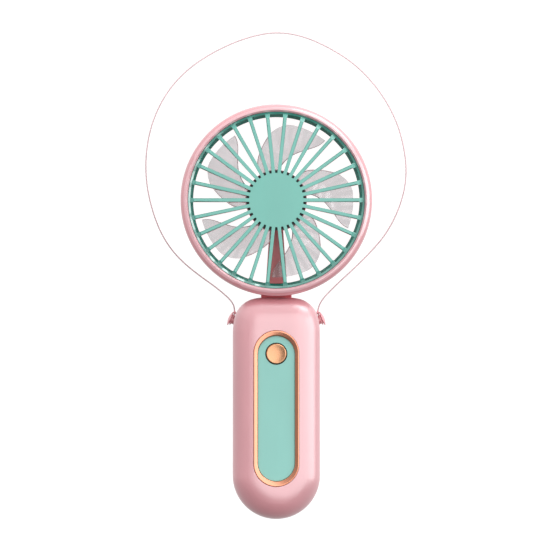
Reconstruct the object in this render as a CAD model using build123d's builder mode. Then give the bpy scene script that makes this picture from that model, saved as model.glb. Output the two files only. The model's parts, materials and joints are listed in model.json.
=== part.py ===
from build123d import *
import math
import os

# A small hand-held electric fan lying on its back, in millimetres. X runs across the handle, Y from
# the handle's end to the head, and Z out of the front. The back lies on Z = 0, and X = Y = 0 is the
# middle of the whole length.

# ---- driving dimensions ----
LENGTH = 199.3            # handle end to head top
PARTING_Z = 15.0          # plane where front and back shells meet
WALL = 1.8                # shell wall
SEAM = 0.3                # step that makes the shadow line between shells
GAP = 0.1                 # running gap between moulded pieces

# head
HEAD_R = 46.0
HEAD_Y = LENGTH / 2 - HEAD_R
SHELL_IN_R = HEAD_R - WALL
DUCT_R = 40.6             # inside of the air duct
DUCT_OUT_R = 42.2
DUCT_TOP = 20.0
BACK_ROUND = 4.0
CREST_R = 43.3            # highest circle of the pink ring
CREST_Z = 31.6
LIP_R = 42.45             # mouth of the pink ring round the grille

# grille
GRILLE_TOP = 32.0
RIM_Z = 30.4
RIM_R = 42.2
RIM_IN_R = 41.2
RIM_THROAT_R = 40.0
SPOKES = 30
SPOKE_W = 1.7
SPOKE_FOOT_W = 2.2
SPOKE_T = 2.0
HUB_DISC_R = 13.0
TAB_Z = 24.2              # snap tabs under the ring's lip

# rear guard, strut and motor cup
GUARD_W = 1.2
GUARD_Z = 0.6
GUARD_T = 2.0
CUP_R = 14.7
CUP_TOP = 16.4
STRUT_TOP = 14.4
STRUT_HUB_W = 6.5
STRUT_RIM_W = 10.3
STRUT_WALL = 1.2
STRUT_Z = 0.8
COVER_T = 1.2

# motor
MOTOR_R = 12.2
MOTOR_Z = 2.6             # back face of the end cap
CAP_T = 2.6
CAN_TOP = 15.4
CAN_WALL = 0.8
SHAFT_R = 1.0
SHAFT_TOP = 25.6
BUSH_R = 2.2
BUSH_RUN = 0.03           # radial running clearance of the shaft
CORE_R = 9.2
CORE_Z = 7.2
CORE_T = 5.4
MAGNET_IN_R = 9.7
MAGNET_R = 11.4
POLES = 3

# impeller
HUB_R = 14.3
HUB_Z = 17.2
HUB_TOP = 27.2
HUB_WALL = 1.2
BLADES = 5
BLADE_TIP_R = 37.0
BLADE_T = 1.1
BLADE_MID_Z = 21.9
# Where the two ends of each section of the first blade stand: their radius, the angles of the leading
# and the trailing end, and half the section's height. The blade turns counter-clockwise.
BLADE_SECTIONS = (
    (14.0, 121.0, 84.0, 3.4),
    (17.0, 119.5, 80.8, 3.5),
    (20.5, 116.5, 74.6, 3.4),
    (24.5, 109.0, 66.3, 3.2),
    (28.5, 101.8, 58.2, 2.9),
    (32.5, 94.8, 52.6, 2.6),
    (37.5, 86.0, 50.6, 2.2),
    (39.5, 82.0, 50.2, 2.0),
)

# handle
HANDLE_W = 42.0
HANDLE_LENGTH = 106.5
HANDLE_T = 30.0
HANDLE_ROUND = 7.0
HANDLE_END_Y = -LENGTH / 2
HANDLE_TOP_Y = HANDLE_END_Y + HANDLE_LENGTH
SIDE_ARC_R, SIDE_ARC_DEG = 36.0, 13.0       # long easing at the sides of the shoulders
SHOULDER_R, SHOULDER_DEG = 12.0, 62.0
CROWN_ARC_R, CROWN_ARC_DEG = 20.0, 15.0     # easing into the flat top
LIP_H = 1.6               # locating lip between shells
LIP_T = 0.9

# neck
NECK_W = 14.7
NECK_T = 12.0
NECK_FLANGE_W = 18.0
NECK_FLANGE_T = 15.6
NECK_LEAD_W = 5.2
NECK_LEAD_T = 4.0
LEAD_Z = 12.2             # height of the motor leads in the neck

# frame, panel and button
FRAME_W = 22.0
FRAME_LENGTH = 75.1
FRAME_Y = -46.3
FRAME_BAND = 2.0          # sloping band at the sides
FRAME_END_BAND = 2.6      # and at the ends
FRAME_TOP = 30.15
FRAME_FLANGE_W = 23.6
FRAME_FLANGE_LENGTH = 76.7
FLANGE_TOP = 28.1
FLANGE_T = 1.1
PANEL_TOP = 28.7
PANEL_BASE_T = 1.1
BUTTON_Y = -20.0
BUTTON_R = 4.88
BUTTON_HOLE_R = 5.25
BUTTON_TOP = 29.35
BUTTON_DISH_R = 22.0      # radius of the hollow in its face
BUTTON_FLANGE_R = 6.1
BUTTON_TRAVEL = 0.5       # how far cap and plunger go down

# electronics
BOARD_W = 30.8
BOARD_TOP_Y = -8.0
BOARD_END_Y = -50.0
BOARD_Z = 21.3
BOARD_T = 1.0
SWITCH_SIDE = 6.0
SWITCH_H = 2.0
PLUNGER_R = 1.6
PLUNGER_DEPTH = 0.9        # how far the plunger stands in the switch when let go
CELL_R = 9.2
CELL_L = 65.0
CELL_TOP_Y = -20.6
CELL_Z = 11.75
SLEEVE_T = 0.15
PORT_Z = 14.8
PORT_W = 8.94
PORT_H = 3.16
USB_BOARD_Z = 12.22
WIRE_R = 0.6

# handle screws: (x, y), and the board's own posts
HANDLE_SCREWS = ((-11.5, -3.0), (11.5, -3.0), (-14.6, -66.0), (14.6, -66.0))
BOARD_POSTS = ((-13.6, -12.0), (13.6, -12.0), (-13.6, -46.0), (13.6, -46.0))
USB_POSTS = ((-5.6, -90.4), (5.6, -90.4))
POST_R = 2.8
SCREW_R = 0.95
SCREW_HEAD_R = 1.9
SCREW_HEAD_H = 1.3
SEAT_Z = 3.5              # where the handle screws' heads bear

# strap pegs
PEG_X = HANDLE_W / 2 - 0.65
PEG_Y = -4.0
PEG_TILT = 23.5           # degrees that a peg points up the handle
PEG_STEM_R = 2.15
PEG_CAP_R = 3.5
PEG_CAP_S = 1.7           # how far the cap stands off the shell
PEG_DOME_H = 0.85
LOOP_S = 1.1              # where the cord's loop sits along the stem

# cord
CORD_D = 0.7
CORD_FLOOR = CORD_D / 2 + 0.01
KNOT_R = 0.58
KNOT_OUT = 3.4            # knot's distance from the peg's axis
KNOT_NECK = 1.1           # knot's middle to where the cord starts
EXIT_LEFT = (-0.15, 0.93, -0.335)
EXIT_RIGHT = (0.05, 0.94, -0.337)

HEAD = Plane((0, HEAD_Y, 0))
HEAD_AXIS = Axis((0, HEAD_Y, 0), (0, 0, 1))
HEAD_SECTION = Plane(origin=(0, HEAD_Y, 0), x_dir=(1, 0, 0), z_dir=(0, -1, 0))

os.makedirs("parts", exist_ok=True)


def level(z):
    """A horizontal sketch plane at height z."""
    return Plane.XY.offset(z)


def head_level(z):
    """A horizontal sketch plane at height z, centred on the head."""
    return Plane((0, HEAD_Y, z))


def unit(v):
    """A vector of length one along v."""
    return Vector(*v).normalized()


# ---- handle outline and shells ----

def handle_outline(inset):
    """The handle's outline as a face at Z = 0, inset by a wall."""
    half = HANDLE_W / 2 - inset
    side_r = SIDE_ARC_R - inset
    shoulder_r = SHOULDER_R - inset
    crown_r = CROWN_ARC_R - inset
    a = math.radians(SIDE_ARC_DEG)
    b = math.radians(SIDE_ARC_DEG + SHOULDER_DEG)
    top = HANDLE_TOP_Y - inset
    rise_side = side_r * math.sin(a)
    rise_shoulder = shoulder_r * (math.sin(b) - math.sin(a))
    rise_crown = crown_r * (1 - math.sin(b))
    start_y = top - rise_side - rise_shoulder - rise_crown
    end_y = HANDLE_END_Y + HANDLE_W / 2
    with BuildSketch(mode=Mode.PRIVATE) as outline:
        with BuildLine():
            side = Line((half, end_y), (half, start_y))
            arc_side = JernArc(side @ 1, (0, 1), side_r, SIDE_ARC_DEG)
            arc_shoulder = JernArc(arc_side @ 1, arc_side % 1, shoulder_r, SHOULDER_DEG)
            arc_crown = JernArc(arc_shoulder @ 1, arc_shoulder % 1, crown_r, CROWN_ARC_DEG)
            crown = Line(arc_crown @ 1, (-(arc_crown @ 1).X, (arc_crown @ 1).Y))
            back_crown = JernArc(crown @ 1, (-1, 0), crown_r, CROWN_ARC_DEG)
            back_shoulder = JernArc(back_crown @ 1, back_crown % 1, shoulder_r, SHOULDER_DEG)
            back_side = JernArc(back_shoulder @ 1, back_shoulder % 1, side_r, SIDE_ARC_DEG)
            Line(back_side @ 1, (-half, end_y))
            CenterArc((0, end_y), half, 180, 180)
        make_face()
    return outline.sketch


def handle_block(inset):
    """The whole handle as one rounded block, inset by a wall on every side."""
    outline = handle_outline(inset)
    round_r = HANDLE_ROUND - inset
    with BuildPart(mode=Mode.PRIVATE) as block:
        with BuildSketch(level(inset)):
            add(outline)
        extrude(amount=HANDLE_T - 2 * inset)
        fillet(block.faces().sort_by(Axis.Z)[-1].edges(), round_r)
        fillet(block.faces().sort_by(Axis.Z)[0].edges(), round_r)
    return block.part


def peg_axis(side):
    """The outward direction of a strap peg: side is 1 on the right and -1 on the left."""
    tilt = math.radians(PEG_TILT)
    return Vector(side * math.cos(tilt), math.sin(tilt), 0)


def peg_origin(side):
    return Vector(side * PEG_X, PEG_Y, PARTING_Z)


def peg_section(side):
    """A plane through the peg's axis: local x is across the peg, local y runs outward along it."""
    axis = peg_axis(side)
    return Plane(origin=peg_origin(side), x_dir=(0, 0, 1), z_dir=Vector(0, 0, 1).cross(axis))


def port_cut():
    """The opening of the charging socket, through the handle's end."""
    with BuildPart(mode=Mode.PRIVATE) as cut:
        with BuildSketch(Plane(origin=(0, HANDLE_END_Y - 1, PORT_Z), x_dir=(1, 0, 0), z_dir=(0, 1, 0))):
            RectangleRounded(PORT_W + 0.3, PORT_H + 0.3, 1.6)
        extrude(amount=6)
    return cut.part


def shell_openings():
    """Neck, peg stems and charging socket, cut through both handle shells."""
    with BuildPart(mode=Mode.PRIVATE) as cut:
        with BuildSketch(Plane(origin=(0, 0, PARTING_Z), x_dir=(1, 0, 0), z_dir=(0, -1, 0))):
            Rectangle(NECK_W + GAP, NECK_T + GAP)
        extrude(amount=-HANDLE_TOP_Y - 2)
        for side in (-1, 1):
            with BuildSketch(Plane(origin=peg_origin(side) - peg_axis(side) * 5, z_dir=peg_axis(side))):
                Circle(PEG_STEM_R + GAP / 2)
            extrude(amount=8)
        add(port_cut())
    return cut.part


def make_handle_front():
    outer = handle_block(0)
    inner = handle_block(WALL)
    with BuildPart() as handle_front:
        add(outer)
        add(inner, mode=Mode.SUBTRACT)
        split(bisect_by=level(PARTING_Z), keep=Keep.TOP)
        with BuildSketch(level(PARTING_Z)):
            Rectangle(2 * HANDLE_W, 3 * HANDLE_LENGTH)
            add(handle_outline(SEAM), mode=Mode.SUBTRACT)
        extrude(amount=SEAM, mode=Mode.SUBTRACT)
        with BuildSketch(level(HANDLE_T + 1)):
            with Locations((0, FRAME_Y)):
                SlotOverall(FRAME_LENGTH + GAP, FRAME_W + GAP, rotation=90)
        extrude(amount=-WALL - 2, mode=Mode.SUBTRACT)
        with BuildSketch(level(PARTING_Z + GAP)):
            with Locations(*HANDLE_SCREWS):
                Circle(POST_R - 0.2)
        extrude(amount=HANDLE_T - WALL - PARTING_Z)
        with BuildSketch(level(BOARD_Z + BOARD_T)):
            with Locations(*BOARD_POSTS):
                Circle(1.6)
        extrude(amount=HANDLE_T - WALL - BOARD_Z - BOARD_T + 0.5)
        with BuildSketch(level(PARTING_Z)):
            with Locations(*HANDLE_SCREWS):
                Circle(SCREW_R)
        extrude(amount=5.2, mode=Mode.SUBTRACT)
        with BuildSketch(level(BOARD_Z)):
            with Locations(*BOARD_POSTS):
                Circle(0.7)
        extrude(amount=4, mode=Mode.SUBTRACT)
        add(shell_openings(), mode=Mode.SUBTRACT)
    handle_front.part.label = "handle_front"
    export_step(handle_front.part, "parts/handle_front.step")
    return handle_front.part


def make_handle_back():
    outer = handle_block(0)
    inner = handle_block(WALL)
    lip_out = handle_outline(WALL + GAP)
    lip_in = handle_outline(WALL + GAP + LIP_T)
    lip_root = handle_outline(WALL - 0.2)
    with BuildPart() as handle_back:
        add(outer)
        add(inner, mode=Mode.SUBTRACT)
        split(bisect_by=level(PARTING_Z), keep=Keep.BOTTOM)
        with BuildSketch(level(PARTING_Z - LIP_H)):
            add(lip_root)
            add(lip_in, mode=Mode.SUBTRACT)
        extrude(amount=LIP_H)
        with BuildSketch(level(PARTING_Z)):
            add(lip_out)
            add(lip_in, mode=Mode.SUBTRACT)
        extrude(amount=LIP_H)
        with BuildSketch(level(PARTING_Z - LIP_H)):
            with Locations((0, HANDLE_TOP_Y - 4)):
                Rectangle(NECK_W + 6, 7)
            with Locations((-PEG_X + 2, PEG_Y - 1), (PEG_X - 2, PEG_Y - 1)):
                Rectangle(7, 10)
            add(handle_outline(WALL), mode=Mode.INTERSECT)
        extrude(amount=2 * LIP_H, mode=Mode.SUBTRACT)
        with BuildSketch(level(WALL - 1)):
            with Locations(*HANDLE_SCREWS):
                Circle(POST_R + 0.2)
        extrude(amount=PARTING_Z - WALL + 1)
        with BuildSketch(level(WALL - 0.5)):
            with Locations(*USB_POSTS):
                Circle(1.7)
        extrude(amount=USB_BOARD_Z - WALL + 0.5)
        with BuildSketch(level(WALL - 0.5)):
            with Locations((0, CELL_TOP_Y - 12), (0, CELL_TOP_Y - CELL_L + 14)):
                Rectangle(23, 1.6)
        extrude(amount=8)
        with BuildSketch(Plane(origin=(0, CELL_TOP_Y + 1, CELL_Z), z_dir=(0, -1, 0))):
            Circle(CELL_R + SLEEVE_T + 0.2)
        extrude(amount=CELL_L + 2, mode=Mode.SUBTRACT)
        with BuildSketch(Plane.XY):
            with Locations(*HANDLE_SCREWS):
                Circle(SCREW_HEAD_R + 0.15)
        extrude(amount=SEAT_Z, mode=Mode.SUBTRACT)
        with BuildSketch(level(SEAT_Z)):
            with Locations(*HANDLE_SCREWS):
                Circle(SCREW_R + GAP)
        extrude(amount=HANDLE_T, mode=Mode.SUBTRACT)
        with BuildSketch(level(USB_BOARD_Z - 4)):
            with Locations(*USB_POSTS):
                Circle(0.7)
        extrude(amount=6, mode=Mode.SUBTRACT)
        add(shell_openings(), mode=Mode.SUBTRACT)
    handle_back.part.label = "handle_back"
    export_step(handle_back.part, "parts/handle_back.step")
    return handle_back.part


# ---- neck ----

def make_neck():
    """A hollow block between handle and head, with a flange inside each, which carries the leads."""
    flange_y = HANDLE_TOP_Y - WALL - 0.25
    low = PARTING_Z - NECK_FLANGE_T / 2
    with BuildPart() as neck:
        with BuildSketch(Plane(origin=(0, flange_y - 1.6, PARTING_Z), x_dir=(1, 0, 0), z_dir=(0, -1, 0))):
            Rectangle(NECK_FLANGE_W, NECK_FLANGE_T)
        extrude(amount=-1.6)
        with BuildSketch(Plane(origin=(0, flange_y - 0.5, PARTING_Z), x_dir=(1, 0, 0), z_dir=(0, -1, 0))):
            RectangleRounded(NECK_W, NECK_T, 0.8)
        extrude(amount=flange_y - HEAD_Y + DUCT_OUT_R)
        with BuildSketch(level(low)):
            with Locations((0, HEAD_Y - SHELL_IN_R + 2)):
                Rectangle(NECK_FLANGE_W, 7)
            with Locations((0, HEAD_Y)):
                Circle(SHELL_IN_R - GAP, mode=Mode.INTERSECT)
        extrude(amount=NECK_FLANGE_T)
        with BuildSketch(head_level(0)):
            Circle(DUCT_OUT_R + GAP)
        extrude(amount=40, mode=Mode.SUBTRACT)
        with BuildSketch(Plane(origin=(0, 0, LEAD_Z), x_dir=(1, 0, 0), z_dir=(0, -1, 0))):
            Rectangle(NECK_LEAD_W, NECK_LEAD_T)
        extrude(amount=-20, mode=Mode.SUBTRACT)
    neck.part.label = "neck"
    export_step(neck.part, "parts/neck.step")
    return neck.part


# ---- head shells ----

def neck_opening():
    """The neck's way through the head's outer wall."""
    with BuildPart(mode=Mode.PRIVATE) as cut:
        with BuildSketch(Plane(origin=(0, HEAD_Y - HEAD_R - 1, PARTING_Z), x_dir=(1, 0, 0), z_dir=(0, -1, 0))):
            Rectangle(NECK_W + GAP, NECK_T + GAP)
        extrude(amount=-4)
    return cut.part


def make_head_front():
    """The front half of the pink ring: rounded outside, with a bevel down to the grille."""
    round_start = CREST_Z - 3.2
    with BuildPart() as head_front:
        with BuildSketch(HEAD_SECTION):
            with BuildLine():
                wall = Line((HEAD_R, PARTING_Z + SEAM), (HEAD_R, round_start))
                shoulder = TangentArc(wall @ 1, (CREST_R, CREST_Z), tangent=(0, 1))
                Polyline(
                    shoulder @ 1,
                    (LIP_R, CREST_Z - 0.9),
                    (LIP_R, CREST_Z - 4.4),
                    (SHELL_IN_R, CREST_Z - 6.4),
                    (SHELL_IN_R, PARTING_Z),
                    (HEAD_R - SEAM, PARTING_Z),
                    (HEAD_R - SEAM, PARTING_Z + SEAM),
                    (HEAD_R, PARTING_Z + SEAM),
                )
            make_face()
        revolve(axis=HEAD_AXIS)
        with BuildSketch(head_level(PARTING_Z - LIP_H)):
            Circle(SHELL_IN_R - 0.06)
            Circle(SHELL_IN_R - LIP_T, mode=Mode.SUBTRACT)
            Rectangle(NECK_W + 6, 3 * HEAD_R, mode=Mode.SUBTRACT)
        extrude(amount=LIP_H)
        with BuildSketch(head_level(PARTING_Z)):
            Circle(SHELL_IN_R + 0.2)
            Circle(SHELL_IN_R - LIP_T, mode=Mode.SUBTRACT)
            Rectangle(NECK_W + 6, 3 * HEAD_R, mode=Mode.SUBTRACT)
        extrude(amount=LIP_H)
        add(neck_opening(), mode=Mode.SUBTRACT)
    head_front.part.label = "head_front"
    export_step(head_front.part, "parts/head_front.step")
    return head_front.part


def strut_sketch_points(wall):
    """Corners of the strut's plan on the head's plane, inset by a wall."""
    hub = STRUT_HUB_W / 2 - wall
    rim = STRUT_RIM_W / 2 - wall
    return ((-hub, -CUP_R + 1.2), (hub, -CUP_R + 1.2), (rim, -DUCT_R - 0.8), (-rim, -DUCT_R - 0.8))


def make_head_rear():
    """Rear ring with its air duct, the strut that carries the leads and the motor cup."""
    with BuildPart() as head_rear:
        with BuildSketch(HEAD_SECTION):
            with BuildLine():
                Polyline((DUCT_R, 0), (DUCT_R, DUCT_TOP), (DUCT_OUT_R, DUCT_TOP), (DUCT_OUT_R, 2.6))
                Polyline((DUCT_OUT_R, 2.6), (SHELL_IN_R, 5), (SHELL_IN_R, PARTING_Z), (HEAD_R, PARTING_Z))
                Line((HEAD_R, PARTING_Z), (HEAD_R, BACK_ROUND))
                RadiusArc((HEAD_R, BACK_ROUND), (HEAD_R - BACK_ROUND, 0), BACK_ROUND)
                Line((HEAD_R - BACK_ROUND, 0), (DUCT_R, 0))
            make_face()
        revolve(axis=HEAD_AXIS)
        with BuildSketch(head_level(GUARD_Z)):
            Circle(CUP_R)
        extrude(amount=CUP_TOP - GUARD_Z)
        with BuildSketch(head_level(STRUT_Z)):
            with BuildLine():
                Polyline(*strut_sketch_points(0), close=True)
            make_face()
        extrude(amount=STRUT_TOP - STRUT_Z)
        with BuildSketch(head_level(MOTOR_Z)):
            Circle(MOTOR_R + 0.05)
        extrude(amount=CUP_TOP, mode=Mode.SUBTRACT)
        with BuildSketch(head_level(0)):
            with BuildLine():
                Polyline(*strut_sketch_points(STRUT_WALL), close=True)
            make_face()
        extrude(amount=STRUT_Z + COVER_T, mode=Mode.SUBTRACT)
        channel = strut_sketch_points(STRUT_WALL)
        reach = ((-channel[1][0], -MOTOR_R + 1), (channel[1][0], -MOTOR_R + 1))
        mouth = ((channel[2][0], -DUCT_OUT_R - 0.2), (channel[3][0], -DUCT_OUT_R - 0.2))
        with BuildSketch(head_level(STRUT_Z + COVER_T)):
            with BuildLine():
                Polyline(*reach, *channel[1:3], *mouth, channel[3], channel[0], close=True)
            make_face()
        extrude(amount=STRUT_TOP - 1.0 - STRUT_Z - COVER_T, mode=Mode.SUBTRACT)
        with BuildSketch(head_level(0)):
            with Locations((-8, 0), (8, 0)):
                Circle(SCREW_HEAD_R + 0.1)
        extrude(amount=GUARD_Z + 1.3, mode=Mode.SUBTRACT)
        with BuildSketch(head_level(0)):
            with Locations((-8, 0), (8, 0)):
                Circle(SCREW_R + 0.05)
            Circle(BUSH_R + 0.2)
        extrude(amount=MOTOR_Z + 0.5, mode=Mode.SUBTRACT)
        add(neck_opening(), mode=Mode.SUBTRACT)
    head_rear.part.label = "head_rear"
    export_step(head_rear.part, "parts/head_rear.step")
    return head_rear.part


def make_rear_guard():
    """Bars from the motor cup to the duct, one behind each front spoke except where the strut runs."""
    pitch = 360 / SPOKES
    bars = SPOKES - 2
    with BuildPart() as rear_guard:
        with BuildSketch(head_level(GUARD_Z)):
            with PolarLocations((CUP_R + DUCT_R) / 2, bars, -90 + 1.5 * pitch, (bars - 1) * pitch, endpoint=True):
                Rectangle(DUCT_R - CUP_R + 2, GUARD_W)
            Circle(DUCT_R, mode=Mode.INTERSECT)
            Circle(CUP_R, mode=Mode.SUBTRACT)
        extrude(amount=GUARD_T)
    rear_guard.part.label = "rear_guard"
    export_step(rear_guard.part, "parts/rear_guard.step")
    return rear_guard.part


def make_strut_cover():
    """The plate that closes the strut's lead channel from behind."""
    with BuildPart() as strut_cover:
        with BuildSketch(head_level(STRUT_Z)):
            with BuildLine():
                Polyline(*strut_sketch_points(STRUT_WALL + 0.05), close=True)
            make_face()
            with Locations((0, -CUP_R + 1)):
                Rectangle(20, 0.5, mode=Mode.SUBTRACT)
            with Locations((0, -DUCT_R - 0.8)):
                Rectangle(20, 0.1, mode=Mode.SUBTRACT)
        extrude(amount=COVER_T)
    strut_cover.part.label = "strut_cover"
    export_step(strut_cover.part, "parts/strut_cover.step")
    return strut_cover.part


# ---- grille ----

def make_front_grille():
    """Rim with a tapered throat, 30 straight spokes that bend down at the rim, and the centre disc."""
    under = GRILLE_TOP - SPOKE_T
    with BuildPart(mode=Mode.PRIVATE) as spoke:
        with BuildSketch(Plane.XZ.offset(-SPOKE_W / 2)):
            with BuildLine():
                Polyline(
                    (HUB_DISC_R - 1, GRILLE_TOP),
                    (39.5, GRILLE_TOP),
                    (RIM_IN_R + 0.2, RIM_Z),
                    (RIM_IN_R + 0.2, RIM_Z - 2.6),
                    (38.9, under),
                    (HUB_DISC_R - 1, under),
                    close=True,
                )
            make_face()
        extrude(amount=SPOKE_W)
        with BuildSketch(Plane.XZ.offset(-SPOKE_FOOT_W / 2)):
            with BuildLine():
                Polyline(
                    (39.7, GRILLE_TOP - 0.3),
                    (RIM_IN_R + 0.2, RIM_Z),
                    (RIM_IN_R + 0.2, RIM_Z - 2.6),
                    (39.7, under - 0.9),
                    close=True,
                )
            make_face()
        extrude(amount=SPOKE_FOOT_W)
    with BuildPart() as front_grille:
        with BuildSketch(HEAD_SECTION):
            with BuildLine():
                Polyline(
                    (RIM_R, RIM_Z),
                    (RIM_IN_R, RIM_Z),
                    (RIM_THROAT_R, DUCT_TOP + GAP),
                    (RIM_R, DUCT_TOP + GAP),
                    close=True,
                )
            make_face()
        revolve(axis=HEAD_AXIS)
        with BuildSketch(head_level(GRILLE_TOP)):
            Circle(HUB_DISC_R)
        extrude(amount=-SPOKE_T - 0.3)
        with Locations(HEAD), PolarLocations(0, SPOKES):
            add(spoke.part)
        with BuildSketch(head_level(TAB_Z)):
            Circle(RIM_R + 1.0)
            Circle(RIM_R - 0.3, mode=Mode.SUBTRACT)
            with PolarLocations(0, 6, start_angle=30):
                Rectangle(2 * HEAD_R, 7)
            Circle(RIM_R + 1.0, mode=Mode.INTERSECT)
            Circle(RIM_R - 0.3, mode=Mode.SUBTRACT)
        extrude(amount=1.4)
    front_grille.part.label = "front_grille"
    export_step(front_grille.part, "parts/front_grille.step")
    return front_grille.part


# ---- impeller ----

def make_impeller():
    """Hub cup on the motor's shaft, with five thin swept blades."""
    with BuildPart(mode=Mode.PRIVATE) as blade:
        for end_r, leading, trailing, half_height in BLADE_SECTIONS:
            turn = math.radians((leading + trailing) / 2)
            spread = math.radians((leading - trailing) / 2)
            radius = end_r * math.cos(spread)
            half_chord = end_r * math.sin(spread)
            out = Vector(math.cos(turn), math.sin(turn), 0)
            along = Vector(-math.sin(turn), math.cos(turn), 0)
            place = Plane(origin=out * radius + Vector(0, 0, BLADE_MID_Z), x_dir=along, z_dir=out)
            pitch = math.degrees(math.atan2(half_height, half_chord))
            chord = 2 * math.hypot(half_chord, half_height)
            with BuildSketch(place):
                SlotOverall(chord, BLADE_T, rotation=-pitch)
        loft()
    with BuildPart() as impeller:
        with Locations(HEAD), PolarLocations(0, BLADES):
            add(blade.part)
        with BuildSketch(head_level(HUB_Z)):
            Circle(BLADE_TIP_R)
        extrude(amount=HUB_TOP - HUB_Z, mode=Mode.INTERSECT)
        with BuildSketch(head_level(HUB_Z)):
            Circle(HUB_R)
        extrude(amount=HUB_TOP - HUB_Z)
        with BuildSketch(head_level(HUB_Z)):
            Circle(HUB_R - HUB_WALL)
            Circle(2.7, mode=Mode.SUBTRACT)
        extrude(amount=HUB_TOP - HUB_Z - HUB_WALL, mode=Mode.SUBTRACT)
        with BuildSketch(head_level(HUB_Z)):
            Circle(2.8)
        extrude(amount=2.2, mode=Mode.SUBTRACT)
        with BuildSketch(head_level(HUB_Z)):
            Circle(SHAFT_R)
        extrude(amount=SHAFT_TOP - HUB_Z, mode=Mode.SUBTRACT)
    impeller.part.label = "impeller"
    export_step(impeller.part, "parts/impeller.step")
    return impeller.part


# ---- motor ----

def make_motor_shell():
    """Steel can, plastic end cap, and the two bronze bushes."""
    can_base = MOTOR_Z + CAP_T
    with BuildPart() as motor_can:
        with BuildSketch(head_level(can_base)):
            Circle(MOTOR_R)
            Circle(MOTOR_R - CAN_WALL, mode=Mode.SUBTRACT)
        extrude(amount=CAN_TOP - can_base)
        with BuildSketch(head_level(CAN_TOP - CAN_WALL)):
            Circle(MOTOR_R - 0.1)
        extrude(amount=CAN_WALL)
        with BuildSketch(head_level(CAN_TOP - 0.2)):
            Circle(BUSH_R + 0.9)
        extrude(amount=1.6)
        with BuildSketch(head_level(CAN_TOP - 2)):
            Circle(BUSH_R)
        extrude(amount=6, mode=Mode.SUBTRACT)
    motor_can.part.label = "motor_can"
    export_step(motor_can.part, "parts/motor_can.step")

    with BuildPart() as motor_end_cap:
        with BuildSketch(head_level(MOTOR_Z)):
            Circle(MOTOR_R)
        extrude(amount=CAP_T)
        with BuildSketch(head_level(MOTOR_Z)):
            Circle(BUSH_R)
            with Locations((-8, 0), (8, 0)):
                Circle(SCREW_R)
        extrude(amount=CAP_T, mode=Mode.SUBTRACT)
        with BuildSketch(head_level(MOTOR_Z + 1.0)):
            with Locations((-1.3, -MOTOR_R), (1.3, -MOTOR_R)):
                Rectangle(1.0, 3.0)
        extrude(amount=0.6, mode=Mode.SUBTRACT)
    motor_end_cap.part.label = "motor_end_cap"
    export_step(motor_end_cap.part, "parts/motor_end_cap.step")

    with BuildPart() as motor_bushes:
        with BuildSketch(head_level(MOTOR_Z)):
            Circle(BUSH_R)
            Circle(SHAFT_R + BUSH_RUN, mode=Mode.SUBTRACT)
        extrude(amount=CAP_T)
        with BuildSketch(head_level(CAN_TOP - CAN_WALL)):
            Circle(BUSH_R)
            Circle(SHAFT_R + BUSH_RUN, mode=Mode.SUBTRACT)
        extrude(amount=CAN_WALL + 1.4)
    motor_bushes.part.label = "motor_bushes"
    export_step(motor_bushes.part, "parts/motor_bushes.step")

    with BuildPart() as motor_magnets:
        with BuildSketch(head_level(can_base + 0.6)):
            Circle(MAGNET_R)
            Circle(MAGNET_IN_R, mode=Mode.SUBTRACT)
            Rectangle(7.5, 3 * MAGNET_R, mode=Mode.SUBTRACT)
        extrude(amount=8.4)
    motor_magnets.part.label = "motor_magnets"
    export_step(motor_magnets.part, "parts/motor_magnets.step")

    with BuildPart() as motor_terminals:
        with BuildSketch(head_level(MOTOR_Z + 1.0)):
            with Locations((-1.3, -MOTOR_R - 0.2), (1.3, -MOTOR_R - 0.2)):
                Rectangle(1.0, 3.0)
        extrude(amount=0.6)
    motor_terminals.part.label = "motor_terminals"
    export_step(motor_terminals.part, "parts/motor_terminals.step")


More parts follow.
